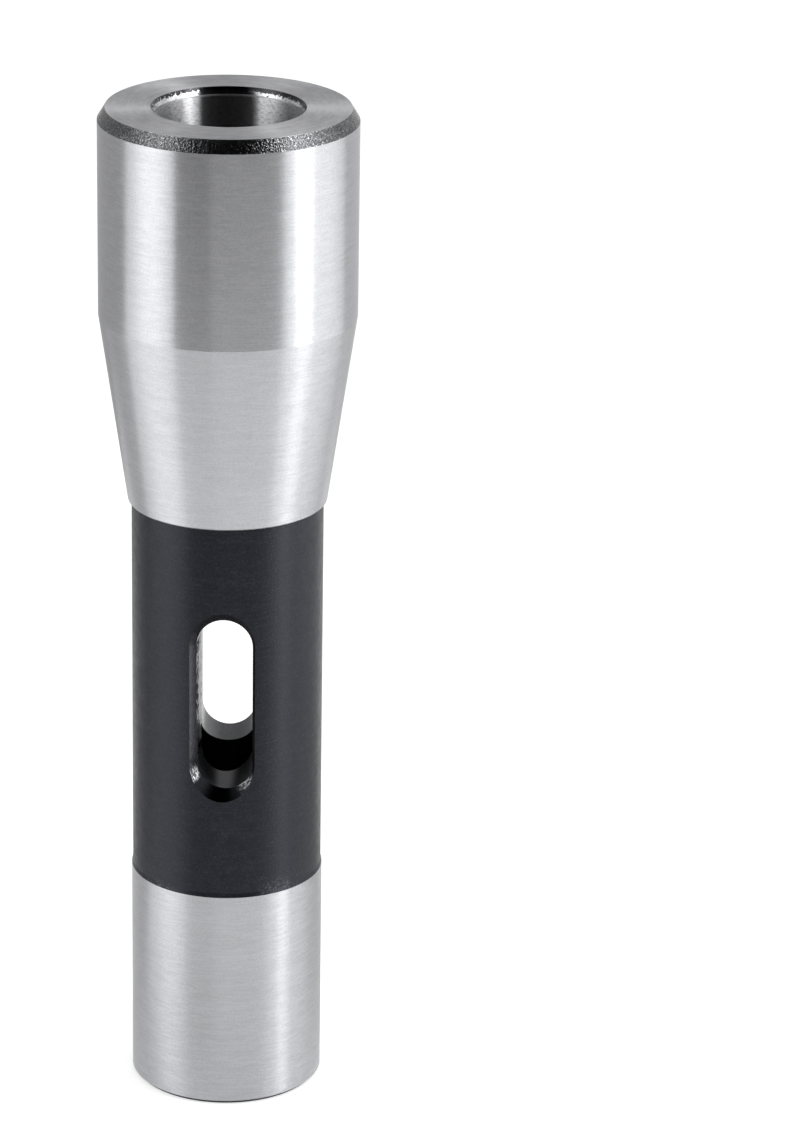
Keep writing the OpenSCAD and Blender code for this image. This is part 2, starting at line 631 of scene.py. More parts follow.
@dataclass(frozen=True)
class MilledOxide:
    """The blackened walls of the milled slot and keyway, smooth enough to shine at a glancing angle."""

    name: str = "milled_oxide"
    tint: Colour = (0.034, 0.036, 0.041)
    bare: Colour = (0.072, 0.074, 0.081)
    chipped: Colour = (0.5, 0.502, 0.51)
    metallic: float = 0.85
    roughness: float = 0.26
    roughness_swing: float = 0.05
    torn_roughness: float = 0.6
    sweep_pace: tuple[float, float, float] = (2.4, 0.56, 4.0)
    sweep_depth: float = 0.006
    chip_pace: tuple[float, float, float] = (2.4, 0.72, 2.4)
    torn_y: tuple[float, float] = (-9.3, -7.0)
    side_foot: tuple[float, float] = (46.1, 46.6)
    side_top: tuple[float, float] = (61.8, 62.3)
    end_foot: tuple[float, float] = (41.0, 42.0)
    end_top: tuple[float, float] = (46.0, 46.6)
    front_dulled_x: tuple[float, float] = (0.6, 2.2)
    front_dulled: tuple[float, float] = (0.1, 0.6)
    back_dulled_x: tuple[float, float] = (-2.6, 1.5)
    back_dulled: tuple[float, float] = (-0.08, 0.14)

    def make(self) -> bpy.types.Material:
        """Makes the finish.

        Returns:
            The new material.
        """
        graph = Graph(self.name)
        x, y, z = graph.axes()
        sweep = graph.noise(graph.stretched(self.sweep_pace), 1.0, 3.0, 0.6)
        chips = graph.noise(graph.stretched(self.chip_pace), 1.0, rough=0.65)
        on_side = z.ramp(*self.side_foot) * z.ramp(*self.side_top, 1.0, 0.0) * y.ramp(*self.torn_y, 1.0, 0.0)
        torn = chips.ramp(0.44, 0.5) * on_side
        bright = chips.ramp(0.34, 0.39, 1.0, 0.0) * on_side
        front_end = y.ramp(-1.0, 0.0, 1.0, 0.0) * x.absolute().ramp(*self.front_dulled_x, *self.front_dulled)
        back_end = y.ramp(0.0, 1.0) * x.ramp(*self.back_dulled_x, *self.back_dulled)
        dulled = (front_end + back_end) * z.ramp(*self.end_foot) * z.ramp(*self.end_top, 1.0, 0.0)
        skin = graph.mixed(sweep.ramp(0.35, 0.7) - torn, self.tint, self.bare)
        smooth = sweep.swing(0.3, 0.7, self.roughness, self.roughness_swing)
        return graph.finish(
            {
                "Base Color": graph.mixed(bright, skin, self.chipped),
                "Metallic": self.metallic - torn * self.metallic,
                "Roughness": smooth + torn * self.torn_roughness + dulled,
                "Normal": graph.relief(sweep, self.sweep_depth),
            }
        )


@dataclass(frozen=True)
class ScratchedOxide:
    """The blackened breaks of the slot, glossy and dark, with bright scratches where the tool skidded.

    Each skid is the x and z of its middle, its reach and its gain.
    """

    name: str = "scratched_oxide"
    tint: Colour = (0.005, 0.0052, 0.006)
    side_tint: Colour = (0.145, 0.147, 0.158)
    bare: Colour = (0.55, 0.552, 0.57)
    roughness: float = 0.22
    depth: float = 0.010
    streak_pace: tuple[float, float, float] = (6.5, 0.8, 6.0)
    grit_scale: float = 4.5
    round_z: float = 46.45
    front_y: tuple[float, float] = (-4.0, -3.0)
    rim: tuple[float, float] = (3.33, 3.4)
    rim_scale: float = 1.8
    rim_wander: float = 0.1
    faded_x: tuple[float, float] = (4.2, 5.1)
    faded_share: float = 0.55
    crown_z: tuple[float, float] = (62.2, 64.2)
    crown_share: float = 0.15
    skids: tuple[tuple[float, float, float, float], ...] = (
        (-4.1, 45.2, 1.5, 0.9),
        (2.6, 44.1, 1.7, 0.26),
    )

    def make(self) -> bpy.types.Material:
        """Makes the finish.

        Returns:
            The new material.
        """
        graph = Graph(self.name)
        x, y, z = graph.axes()
        down = z - self.round_z
        reach = (x * x + down * down).root()
        outward, inward, round_end = self.streak_pace
        streak_at = graph.vector(reach * outward, y * inward, down.angle_from(x) * round_end)
        streaks = graph.noise(streak_at, 1.0, rough=0.6)
        grit = graph.noise(graph.place(), self.grit_scale, rough=0.6)
        front = y.ramp(*self.front_y, 1.0, 0.0)
        bare = grit.ramp(0.74, 0.86)
        scratches = (streaks * 0.85 + grit * 0.15).ramp(0.46, 0.6, 0.12, 1.0)
        for middle_x, middle_z, size, gain in self.skids:
            away_x, away_z = x - middle_x, z - middle_z
            near = (away_x * away_x + away_z * away_z).root().ramp(size * 0.2, size, gain, 0.0)
            bare = bare.at_least(near * front * scratches)
        wander = graph.noise(graph.place(), self.rim_scale, rough=0.6) * self.rim_wander
        on_side = down.ramp(-0.8, 0.8) * z.ramp(*self.crown_z, 1.0, 0.0) * x.ramp(-1.0, 0.0, 1.0, 0.0)
        on_side = on_side * (x.absolute() - wander).ramp(*self.rim)
        crown = z.ramp(*self.crown_z)
        faded = x.absolute().ramp(*self.faded_x, 1.0, self.faded_share)
        side = on_side * faded * grit.ramp(0.2, 0.6, 0.75, 1.0) + crown * self.crown_share
        skin = graph.mixed(side, self.tint, self.side_tint)
        return graph.finish(
            {
                "Base Color": graph.mixed(bare, skin, self.bare),
                "Metallic": 1.0 - crown,
                "Roughness": self.roughness,
                "Normal": graph.relief(streaks * 0.5 + grit * 0.5, self.depth),
            }
        )


@dataclass(frozen=True)
class Corner:
    """A corner of the bar's outline, and the finish of the stretch that starts there."""

    z: float
    r: float
    surface: Surface
    radius: float = 0.05


class Skin:
    """Gathers grids of points into one closed mesh."""

    def __init__(self) -> None:
        """Starts with nothing in it."""
        self.points: list[Points] = []
        self.faces: list[Sequence[int]] = []
        self.surfaces: list[int] = []
        self.count = 0

    def add_points(self, points: Points) -> int:
        """Adds points that faces can use.

        Args:
            points: The points, in any arrangement whose last axis is x, y and z.

        Returns:
            The number of the first point.
        """
        first = self.count
        flat = points.reshape(-1, 3)
        self.points.append(flat)
        self.count += len(flat)
        return first

    def add_grid(self, points: Points, surfaces: Surface | Sequence[Surface]) -> None:
        """Adds a grid of faces.

        Args:
            points: Rows of points, as rows by columns by 3, in millimetres.
            surfaces: The finish of the whole grid, or one for each step between rows.
        """
        rows, columns = points.shape[:2]
        first = self.add_points(points)
        finish = [surfaces] * (rows - 1) if isinstance(surfaces, Surface) else list(surfaces)
        for row in range(rows - 1):
            start = first + row * columns
            for column in range(columns - 1):
                corner = start + column
                self.faces.append((corner, corner + 1, corner + columns + 1, corner + columns))
            self.surfaces.extend([finish[row]] * (columns - 1))

    def add_face(self, points: Points, surface: Surface) -> None:
        """Adds one flat face.

        Args:
            points: The face's outline, in order.
            surface: The face's finish.
        """
        first = self.add_points(points)
        self.faces.append(range(first, first + len(points)))
        self.surfaces.append(surface)

    def build(self, name: str, join: float) -> bpy.types.Object:
        """Makes the mesh object.

        Args:
            name: The object's name.
            join: Points closer than this are one point, in millimetres.

        Returns:
            The object, linked to the scene.
        """
        mesh = bpy.data.meshes.new(name)
        vertices = np.concatenate(self.points) * MM
        mesh.from_pydata(vertices.tolist(), [], [list(face) for face in self.faces])
        mesh.polygons.foreach_set("material_index", np.array(self.surfaces, dtype=np.int32))
        tidy = bmesh.new()
        tidy.from_mesh(mesh)
        bmesh.ops.remove_doubles(tidy, verts=tidy.verts, dist=join * MM)
        bmesh.ops.dissolve_degenerate(tidy, edges=tidy.edges, dist=join * MM / 2)
        bmesh.ops.recalc_face_normals(tidy, faces=tidy.faces)
        tidy.to_mesh(mesh)
        open_edges = sum(not edge.is_manifold for edge in tidy.edges)
        tidy.free()
        log.info("%s: %d faces, %d open edges", name, len(mesh.polygons), open_edges)
        made = bpy.data.objects.new(name, mesh)
        bpy.context.collection.objects.link(made)
        return made


@dataclass
class DriftSlot:
    """The slot across the shank, with round ends and a broken edge at both mouths."""

    wall_r: float = 11.9
    width: float = 6.9
    top_z: float = 65.4
    length: float = 22.4
    edge_break: float = 1.3
    front_side: float = -0.4
    front_drop: float = -0.1
    ragged: float = 0.006
    rolled: float = 0.03
    burr: float = 0.42
    lip_waves: tuple[float, float, float] = (9.1, 5.7, 14.3)
    edge_waves: tuple[float, float] = (7.3, 3.1)
    roll_waves: tuple[float, float] = (8.7, 5.3)
    settling: int = 30
    end_steps: int = 14
    straight_steps: int = 48
    break_steps: int = 3
    wall_steps: int = 4

    @property
    def half_width(self) -> float:
        """Half the slot's width."""
        return self.width / 2

    @property
    def half_run(self) -> float:
        """Half the length of the slot's straight sides."""
        return (self.length - self.width) / 2

    @property
    def middle_z(self) -> float:
        """The height of the slot's middle."""
        return self.top_z - self.length / 2

    def outline(self, creases: Sequence[float]) -> Points:
        """Works out one side of the slot, from its top round to its bottom.

        Args:
            creases: Heights on the straight side that need a point of their own.

        Returns:
            Rows of distance from the middle and height.
        """
        turn = np.linspace(math.pi / 2, 0, self.end_steps + 1)
        round_end = np.stack([np.cos(turn), np.sin(turn)], axis=1) * self.half_width
        top = round_end + (0, self.half_run)
        straight = np.linspace(self.half_run, -self.half_run, self.straight_steps + 1)[1:-1]
        straight = np.array(sorted({*straight.tolist(), *(z - self.middle_z for z in creases)}, reverse=True))
        side = np.stack([np.full(len(straight), self.half_width), straight], axis=1)
        bottom = top[::-1] * (1, -1)
        return np.concatenate([top, side, bottom]) + (0, self.middle_z)

    def hole_edge(self, outline: Points, side: Side, front: bool) -> Points:
        """Works out the edge between the slot's wall and the hole, with its burr.

        Args:
            outline: The slot's outline, from outline().
            side: The half of the bar that it is on.
            front: True for the front of the bar, whose left edge has the burr.

        Returns:
            The edge's distance from the middle at each point of the outline.
        """
        z = outline[:, 1]
        run = np.clip(z, self.middle_z - self.half_run, self.middle_z + self.half_run)
        outward = outline[:, 0] / self.half_width * (np.abs(z - run) < self.half_width * 0.9)
        middling, long, short = self.lip_waves
        wave = np.sin(z * middling + 2.0 * side) * np.sin(z * long + front) + 0.4 * np.sin(z * short + side)
        lip = self.burr * (0.85 + 0.15 * wave) if front and side is Side.LEFT else 0.0
        return outline[:, 0] - lip * outward**4

    def broken_edge(self, outline: Points, side: Side, front: bool) -> tuple[Points, Points]:
        """Works out the conical break round one side of a mouth.

        Args:
            outline: The slot's outline, from outline().
            side: The half of the bar that it is on.
            front: True for the front mouth, whose break runs off centre.

        Returns:
            The break's inner and outer edges, as rows of x, distance from the axis along Y, and z.
        """
        off = np.array((self.front_side, self.front_drop) if front else (0.0, 0.0))
        at = outline * (side, 1) - (0, self.middle_z)
        path = np.stack([np.zeros(len(at)), np.clip(at[:, 1], -self.half_run, self.half_run)], axis=1)
        outward = (at - path) / self.half_width
        short, long = self.edge_waves
        wave = np.sin(at[:, 1] * short + at[:, 0]) * np.sin(at[:, 1] * long + 2.0 * front)
        wave = wave * outward[:, 0] ** 2
        reach = self.half_width + self.edge_break + self.ragged * wave
        outer_reach = reach
        for _ in range(self.settling):
            x = off[0] + outward[:, 0] * outer_reach
            outer_reach = reach - (self.wall_r - np.sqrt(self.wall_r**2 - x**2))
        outer = path + off + outward * outer_reach[:, None] + (0, self.middle_z)
        low, high = off[1] - self.half_run, off[1] + self.half_run
        if front and side is Side.LEFT:
            short, long = self.roll_waves
            burr = np.sin(at[:, 1] * short) * np.sin(at[:, 1] * long + 1.0)
            at = at - outward**2 * (self.rolled + self.ragged * burr)[:, None] * (1, 0)
        nearest = np.stack([np.full(len(at), off[0]), np.clip(at[:, 1], low, high)], axis=1)
        inner_y = self.wall_r - (reach - np.linalg.norm(at - nearest, axis=1))
        outer_y = np.sqrt(self.wall_r**2 - outer[:, 0] ** 2)
        inner = np.stack([at[:, 0], inner_y, outline[:, 1]], axis=1)
        return inner, np.stack([outer[:, 0], outer_y, outer[:, 1]], axis=1)


@dataclass
class Keyway:
    """The groove at the back of the rear land, open at the rear face."""

    width: float = 4.0
    floor_y: float = 9.65
    length: float = 31.8
    end_steps: int = 10
    wall_steps: int = 3
    floor_steps: int = 4

    def half_width(self, z: float) -> float:
        """Returns half the groove's width at a height: its upper end is round."""
        above = max(0.0, z - (self.length - self.width / 2))
        return math.sqrt(max(0.0, (self.width / 2) ** 2 - above**2))

    def rows(self) -> list[float]:
        """Returns the heights at which the round end needs a point."""
        turn = np.linspace(0, math.pi / 2, self.end_steps + 1)
        return (self.length - self.width / 2 + self.width / 2 * np.sin(turn)).tolist()


@dataclass
class DrawbarThread:
    """The thread that the drawbar screws into, as a helix in the wall of the hole."""

    low_z: float = 2.59
    pitch: float = 1.27
    turns: int = 22
    crest_r: float = 4.96
    root_r: float = 5.55
    profile: tuple[float, ...] = (0.0, 0.0, 0.45, 0.95, 0.95, 0.45)

    @property
    def high_z(self) -> float:
        """The height at which the thread has run out."""
        return self.low_z + self.pitch * (self.turns + 1)

    def add_to(self, skin: Skin, columns: int) -> None:
        """Adds the thread between two plain rings of the hole's wall.

        Args:
            skin: The mesh that it joins.
            columns: How many points a ring of the hole has.
        """
        steps = len(self.profile)
        row = np.arange(steps * self.turns + 1)[:, None]
        turn = np.arange(columns + 1)[None, :] / columns
        z = self.low_z + self.pitch * (row / steps + turn)
        run_in = np.clip((z - self.low_z) / self.pitch, 0, 1) * np.clip((self.high_z - z) / self.pitch, 0, 1)
        cut = np.array(self.profile)[row % steps] * run_in
        r = self.crest_r + (self.root_r - self.crest_r) * cut
        angle = 2 * math.pi * turn + 0 * row
        points = np.stack([r * np.sin(angle), -r * np.cos(angle), z], axis=-1)
        skin.add_grid(points, Surface.OXIDE)
        for height, edge, seam in (
            (self.low_z, points[0], points[1 : steps + 1, 0]),
            (self.high_z, points[-1], points[-2 : -steps - 2 : -1, -1]),
        ):
            ring = edge.copy()
            ring[:, :2] *= self.crest_r / np.linalg.norm(ring[:, :2], axis=1)[:, None]
            ring[:, 2] = height
            low = height == self.low_z
            span = slice(0, -1) if low else slice(1, None)
            skin.add_grid(np.stack([ring[span], edge[span]]), Surface.OXIDE)
            if low:
                corner = np.concatenate([ring[-2:], seam, edge[-2:-1]])
            else:
                corner = np.concatenate([ring[1::-1], seam, edge[:2]])
            skin.add_face(corner, Surface.OXIDE)


@dataclass
class AdapterBody:
    """The whole bar: collar, taper, relief, rear land, socket, slot, drawbar hole and keyway."""

    gauge_z: float = 101.6
    gauge_r: float = 15.875
    taper_half_angle: float = 8.425
    taper_length: float = 23.95
    taper_edge: float = 0.15
    land_r: float = 12.05
    land_length: float = 28.7
    land_ramp: float = 0.5
    land_edge: float = 0.5
    collar_length: float = 25.9
    collar_edge_height: float = 1.55
    collar_edge_angle: float = 31.5
    mouth_r: float = 9.4
    socket_r: float = 8.89
    socket_taper: float = 0.024975
    socket_depth: float = 66.7
    drill_half_angle: float = 59.0
    centre_half_angle: float = 30.0
    honed_height: float = 0.22
    honed_half_angle: float = 12.0
    clear_r: float = 5.15
    thread_depth: float = 32.0
    rear_mouth_r: float = 6.1
    columns: int = 96
    arc_steps: int = 3
    blend_steps: int = 6
    seam: float = 0.002
    crease_angle: float = 35.0
    straight_angle: float = 89.5
    slot: DriftSlot = field(default_factory=DriftSlot)
    keyway: Keyway = field(default_factory=Keyway)
    thread: DrawbarThread = field(default_factory=DrawbarThread)
    skin: Skin = field(default_factory=Skin)

    @property
    def top_z(self) -> float:
        """The height of the nose face."""
        return self.gauge_z + self.collar_length

    def rounded(self, corners: Sequence[Corner]) -> tuple[Points, list[Surface]]:
        """Rounds each inner corner of an outline.

        Args:
            corners: The outline's corners in order.

        Returns:
            Rows of height and radius, and the finish of each step between rows.
        """
        rows = [(corners[0].z, corners[0].r)]
        surfaces: list[Surface] = []
        for before, here, after in zip(corners, corners[1:], corners[2:]):
            arc = self.arc(Vector((before.z, before.r)), here, Vector((after.z, after.r)))
            rows.extend(arc)
            surfaces.append(before.surface)
            surfaces.extend([here.surface] * (len(arc) - 1))
        rows.append((corners[-1].z, corners[-1].r))
        surfaces.append(corners[-2].surface)
        return np.array(rows), surfaces

    def arc(self, before: Vector, here: Corner, after: Vector) -> list[tuple[float, float]]:
        """Works out the arc that rounds a corner.

        Args:
            before: The height and radius of the corner before it.
            here: The corner.
            after: The height and radius of the corner after it.

        Returns:
            The heights and radii of the arc's points, or of the corner alone where it stays sharp.
        """
        corner = Vector((here.z, here.r))
        back, on = (before - corner).normalized(), (after - corner).normalized()
        half = math.acos(max(-1.0, min(1.0, back.dot(on)))) / 2
        if here.radius <= 0 or half > math.radians(self.straight_angle):
            return [tuple(corner)]
        reach = min(here.radius / math.tan(half), (before - corner).length / 3, (after - corner).length / 3)
        start, end = corner + back * reach, corner + on * reach
        points = []
        for step in range(self.arc_steps + 1):
            share = step / self.arc_steps
            points.append(tuple(start.lerp(corner, share).lerp(corner.lerp(end, share), share)))
        return points

    def halves(self, front: Points, back: Points, surfaces: Surface | Sequence[Surface], side: Side) -> None:
        """Adds one half of the bar's wall, from its front seam round to its back seam.

        Args:
            front: Rows of angle from the front, height and radius at the front seam.
            back: The same at the back seam.
            surfaces: The finish of each step between rows.
            side: The half to add.
        """
        share = np.linspace(0, 1, self.columns + 1)[None, :, None]
        at = front[:, None, :] * (1 - share) + back[:, None, :] * share
        angle, z, r = at[..., 0], at[..., 1], at[..., 2]
        self.skin.add_grid(np.stack([side * r * np.sin(angle), -r * np.cos(angle), z], axis=-1), surfaces)

    def rings(self, rows: Points, surfaces: Surface | Sequence[Surface]) -> None:
        """Adds a plain turned length.

        Args:
            rows: Rows of height and radius.
            surfaces: The finish of each step between rows.
        """
        for side in Side:
            front = np.column_stack([np.zeros(len(rows)), rows])
            back = np.column_stack([np.full(len(rows), math.pi), rows])
            self.halves(front, back, surfaces, side)

    def blend_rows(self, start: Points, end: Points, steps: int) -> Points:
        """Returns rows from one row of angle, height and radius to another, both included."""
        share = np.linspace(0, 1, steps + 1)[:, None]
        return start * (1 - share) + end * share

    def add_rear(self) -> None:
        """Adds the rear face, the land and the foot of the relief, with the keyway through them."""
        corners = [
            Corner(0.0, self.land_r - self.land_edge, Surface.OXIDE),
            Corner(self.land_edge, self.land_r, Surface.GROUND),
            Corner(self.land_length, self.land_r, Surface.OXIDE, 0.08),
            Corner(self.land_length + self.land_ramp, self.slot.wall_r, Surface.OXIDE),
            Corner(self.keyway.length, self.slot.wall_r, Surface.OXIDE),
        ]
        outline, kinds = self.rounded(corners)
        heights = np.array(sorted({*outline[:, 0].tolist(), *self.keyway.rows()}))
        radii = np.interp(heights, outline[:, 0], outline[:, 1])
        step = np.searchsorted(outline[:, 0], (heights[:-1] + heights[1:]) / 2) - 1
        surfaces = [kinds[i] for i in step]
        half = np.array([self.keyway.half_width(z) for z in heights])
        skin_y = np.sqrt(radii**2 - half**2)
        zero = np.zeros(len(heights))
        floor_y = self.keyway.floor_y
        for side in Side:
            front = np.column_stack([zero, heights, radii])
            back = np.column_stack([math.pi - np.arcsin(half / radii), heights, radii])
            self.halves(front, back, surfaces, side)
            wall = np.linspace(skin_y, zero + floor_y, self.keyway.wall_steps + 1, axis=1)
            wide = np.repeat(side * half[:, None], wall.shape[1], axis=1)
            tall = np.repeat(heights[:, None], wall.shape[1], axis=1)
            self.skin.add_grid(np.stack([wide, wall, tall], axis=-1), Surface.MILLED)
            floor = np.linspace(side * half, zero, self.keyway.floor_steps + 1, axis=1)
            tall = np.repeat(heights[:, None], floor.shape[1], axis=1)
            level = np.full(floor.shape, floor_y)
            self.skin.add_grid(np.stack([floor, level, tall], axis=-1), Surface.MILLED)
            turn = np.linspace(0, back[0, 0], self.columns + 1)
            rim = np.stack([side * radii[0] * np.sin(turn), -radii[0] * np.cos(turn), 0 * turn], axis=1)
            notch = np.stack([np.full(wall.shape[1], side * half[0]), wall[0], 0 * wall[0]], axis=1)
            bed = np.stack([floor[0], level[0], 0 * floor[0]], axis=1)
            turn = np.linspace(math.pi, 0, self.columns + 1)
            hole = np.stack([side * np.sin(turn), -np.cos(turn), 0 * turn], axis=1) * self.rear_mouth_r
            self.skin.add_face(np.concatenate([rim, notch[1:], bed[1:], hole]), Surface.OXIDE)

    def add_slot(self, hole_r: Callable[[Points], Points], creases: Sequence[float]) -> None:
        """Adds the relief's wall, the slot with its broken mouths, and the hole's wall beside the slot.

        Args:
            hole_r: The radius of the hole inside the bar at a height.
            creases: The heights in the slot where the hole's wall has a corner.
        """
        slot = self.slot
        taper_foot = self.gauge_z - self.taper_length
        outline = slot.outline(creases)
        inside_r = hole_r(outline[:, 1])
        for side in Side:
            edges, holes = {}, {}
            for front in (True, False):
                inner, outer = slot.broken_edge(outline, side, front)
                sign = -1 if front else 1
                hole_x = slot.hole_edge(outline, side, front)
                hole = np.stack([side * hole_x, np.sqrt(inside_r**2 - hole_x**2), outline[:, 1]], axis=1)
                for start, end, steps, surface in (
                    (outer, inner, slot.break_steps, Surface.BROKEN),
                    (inner, hole, slot.wall_steps, Surface.MILLED),
                ):
                    strip = np.linspace(start * (1, sign, 1), end * (1, sign, 1), steps + 1, axis=1)
                    self.skin.add_grid(strip, surface)
                turn = np.arcsin(side * outer[:, 0] / slot.wall_r)
                angle = turn if front else math.pi - turn
                edges[front] = np.column_stack([angle, outer[:, 2], np.full(len(outer), slot.wall_r)])
                turn = np.arcsin(hole_x / inside_r)
                angle = turn if front else math.pi - turn
                holes[front] = np.column_stack([angle, outline[:, 1], inside_r])
            front, back = edges[True], edges[False]
            for end, height in ((0, taper_foot), (-1, self.keyway.length)):
                plain_front = np.array([0.0, height, slot.wall_r])
                plain_back = np.array([math.pi, height, slot.wall_r])
                before = self.blend_rows(plain_front, front[end], self.blend_steps)
                behind = self.blend_rows(plain_back, back[end], self.blend_steps)
                self.halves(before, behind, Surface.OXIDE, side)
            self.halves(front, back, Surface.OXIDE, side)
            kinds = [
                Surface.REAMED if z > creases[0] else Surface.OXIDE
                for z in (outline[:-1, 1] + outline[1:, 1]) / 2
            ]
            self.halves(holes[True], holes[False], kinds, side)

    def build(self) -> bpy.types.Object:
        """Builds the bar's mesh.

        Returns:
            The bar, linked to the scene.
        """
        slope = math.tan(math.radians(self.taper_half_angle))
        centre_slope = math.tan(math.radians(self.centre_half_angle))
        foot_z = self.gauge_z - self.taper_length
        foot_r = self.gauge_r - (self.taper_length - self.taper_edge) * slope
        face_r = self.gauge_r - self.collar_edge_height * math.tan(math.radians(self.collar_edge_angle))
        ring_step = self.honed_height * math.tan(math.radians(self.honed_half_angle))
        ring_z = self.top_z - (self.mouth_r - self.socket_r - ring_step) / (centre_slope - self.socket_taper)
        socket_end_z = self.top_z - self.socket_depth
        socket_end_r = self.socket_r - self.socket_depth * self.socket_taper
        drill_z = socket_end_z - (socket_end_r - self.clear_r) / math.tan(math.radians(self.drill_half_angle))

        def socket_at(z: float) -> float:
            """Returns the socket's radius at a height."""
            return self.socket_r - (self.top_z - z) * self.socket_taper

        def hole_at(z: Points) -> Points:
            """Returns the radius of the socket, its drill point or the hole below, at each height."""
            heights = [0.0, drill_z, socket_end_z, self.top_z]
            return np.interp(z, heights, [self.clear_r, self.clear_r, socket_end_r, self.socket_r])

        self.add_rear()
        self.add_slot(hole_at, [socket_end_z, drill_z])
        nose = [
            Corner(foot_z, self.slot.wall_r, Surface.OXIDE, 0.0),
            Corner(foot_z, foot_r - self.taper_edge, Surface.GROUND, 0.02),
            Corner(foot_z + self.taper_edge, foot_r, Surface.GROUND, 0.05),
            Corner(self.gauge_z, self.gauge_r, Surface.GROUND, 0.6),
            Corner(self.top_z - self.collar_edge_height, self.gauge_r, Surface.CHATTER, 0.05),
            Corner(self.top_z, face_r, Surface.FACED, 0.05),
            Corner(self.top_z, self.mouth_r, Surface.MOUTH, 0.04),
            Corner(ring_z, socket_at(ring_z) + ring_step, Surface.HONED, 0.03),
            Corner(ring_z - self.honed_height, socket_at(ring_z - self.honed_height), Surface.REAMED, 0.05),
            Corner(self.slot.top_z, socket_at(self.slot.top_z), Surface.REAMED),
        ]
        self.rings(*self.rounded(nose))
        shaft = [
            Corner(self.slot.top_z - self.slot.length, self.clear_r, Surface.OXIDE),
            Corner(self.thread_depth, self.clear_r, Surface.OXIDE),
            Corner(self.thread.high_z, self.thread.crest_r, Surface.OXIDE),
        ]
        self.rings(*self.rounded(shaft))
        self.thread.add_to(self.skin, self.columns * 2)
        centre_depth = (self.rear_mouth_r - self.thread.crest_r) / centre_slope
        centre = [
            Corner(self.thread.low_z, self.thread.crest_r, Surface.OXIDE),
            Corner(centre_depth, self.thread.crest_r, Surface.OXIDE),
            Corner(0.0, self.rear_mouth_r, Surface.OXIDE),
        ]
        self.rings(*self.rounded(centre))
        return self.skin.build("adapter", self.seam)

    def dress(self, body: bpy.types.Object) -> None:
        """Gives the bar its finishes and smooth shading.

        Args:
            body: The bar, as build() made it.
        """
        finishes = {
            Surface.GROUND: GroundSteel(),
            Surface.OXIDE: BlackOxide(),
            Surface.CHATTER: ChatteredOxide(),
            Surface.FACED: FacedSteel(),
            Surface.MOUTH: ReamedSteel(
                "countersunk_steel",
                tint=(0.7, 0.703, 0.73),
                shade=(0.04, 0.04, 0.043),
                roughness=0.14,
                grain=0.3,
                tear=0.010,
                tear_scale=3.5,
                stroke=0.7,
                pits=1.3,
            ),
            Surface.REAMED: ReamedSteel(),
            Surface.MILLED: MilledOxide(),
            Surface.BROKEN: ScratchedOxide(),
            Surface.HONED: ReamedSteel(
                "honed_steel",
                tint=(0.5, 0.502, 0.52),
                shade=(0.2, 0.201, 0.21),
                roughness=0.4,
                grain=0.0,
                tear=0.0,
            ),
        }
        for surface in Surface:
            body.data.materials.append(finishes[surface].make())
        body.data.polygons.foreach_set("use_smooth", [True] * len(body.data.polygons))
        body.data.set_sharp_from_angle(angle=math.radians(self.crease_angle))
        weighted = body.modifiers.new("flat_faces_stay_flat", "WEIGHTED_NORMAL")
        weighted.keep_sharp = True


@dataclass
class Softbox:
    """A soft lamp that faces the bar, brightest in its middle."""

    name: str
    azimuth: float
    width: float
    radiance: float
    near_fade: float
    far_fade: float
    elevation: float = 28.0
    height: float = 0.9
    distance: float = 0.7

    def make(self, target: Vector) -> bpy.types.Object:
        """Makes the lamp. Azimuth 0 is in front of the slot, and 90 on its right.

        Args:
            target: The point that it is aimed at, in metres.

        Returns:
            The lamp, linked to the scene.
        """
        lamp = bpy.data.lights.new(self.name, "AREA")
        lamp.shape = "RECTANGLE"
        lamp.size = self.width
        lamp.size_y = self.height
        lamp.energy = self.radiance * math.pi * self.width * self.height
        self.fade(Graph(owner=lamp))
        made = bpy.data.objects.new(self.name, lamp)
        turn, lift = math.radians(self.azimuth), math.radians(self.elevation)
        away = Vector((math.sin(turn) * math.cos(lift), -math.cos(turn) * math.cos(lift), math.sin(lift)))
        made.location = target + away * self.distance
        made.rotation_mode = "QUATERNION"
        made.rotation_quaternion = away.to_track_quat("Z", "Y")
        made.visible_camera = False
        bpy.context.collection.objects.link(made)
        return made

    def fade(self, graph: Graph) -> None:
        """Lets the lamp fade softly towards its sides.

        Args:
            graph: The lamp's own shader tree.
        """
        geometry = graph.node("ShaderNodeNewGeometry", {}, {})
        split = graph.node("ShaderNodeSeparateXYZ", {}, {0: geometry.outputs["Parametric"]})
        across = Value(graph, split.outputs["X"])
        level = across.ramp(0.0, self.near_fade) * across.ramp(1.0 - self.far_fade, 1.0, 1.0, 0.0)
        glow = graph.node("ShaderNodeEmission", {}, {"Strength": level})
        graph.node("ShaderNodeOutputLight", {}, {"Surface": glow.outputs[0]})


def staged(
    name: str, graph: Graph, points: Sequence[Sequence[float]], faces: Sequence[Sequence[int]]
) -> bpy.types.Object:
    """Adds a sheet of the studio, which is no piece of the part.

    Args:
        name: The sheet's name.
        graph: The shader tree of its material.
        points: Its points, in metres.
        faces: The numbers of each face's points.

    Returns:
        The sheet, linked to the scene.
    """
    mesh = bpy.data.meshes.new(name)
    mesh.from_pydata(points, [], faces)
    mesh.materials.append(graph.material)
    made = bpy.data.objects.new(name, mesh)
    bpy.context.collection.objects.link(made)
    return made


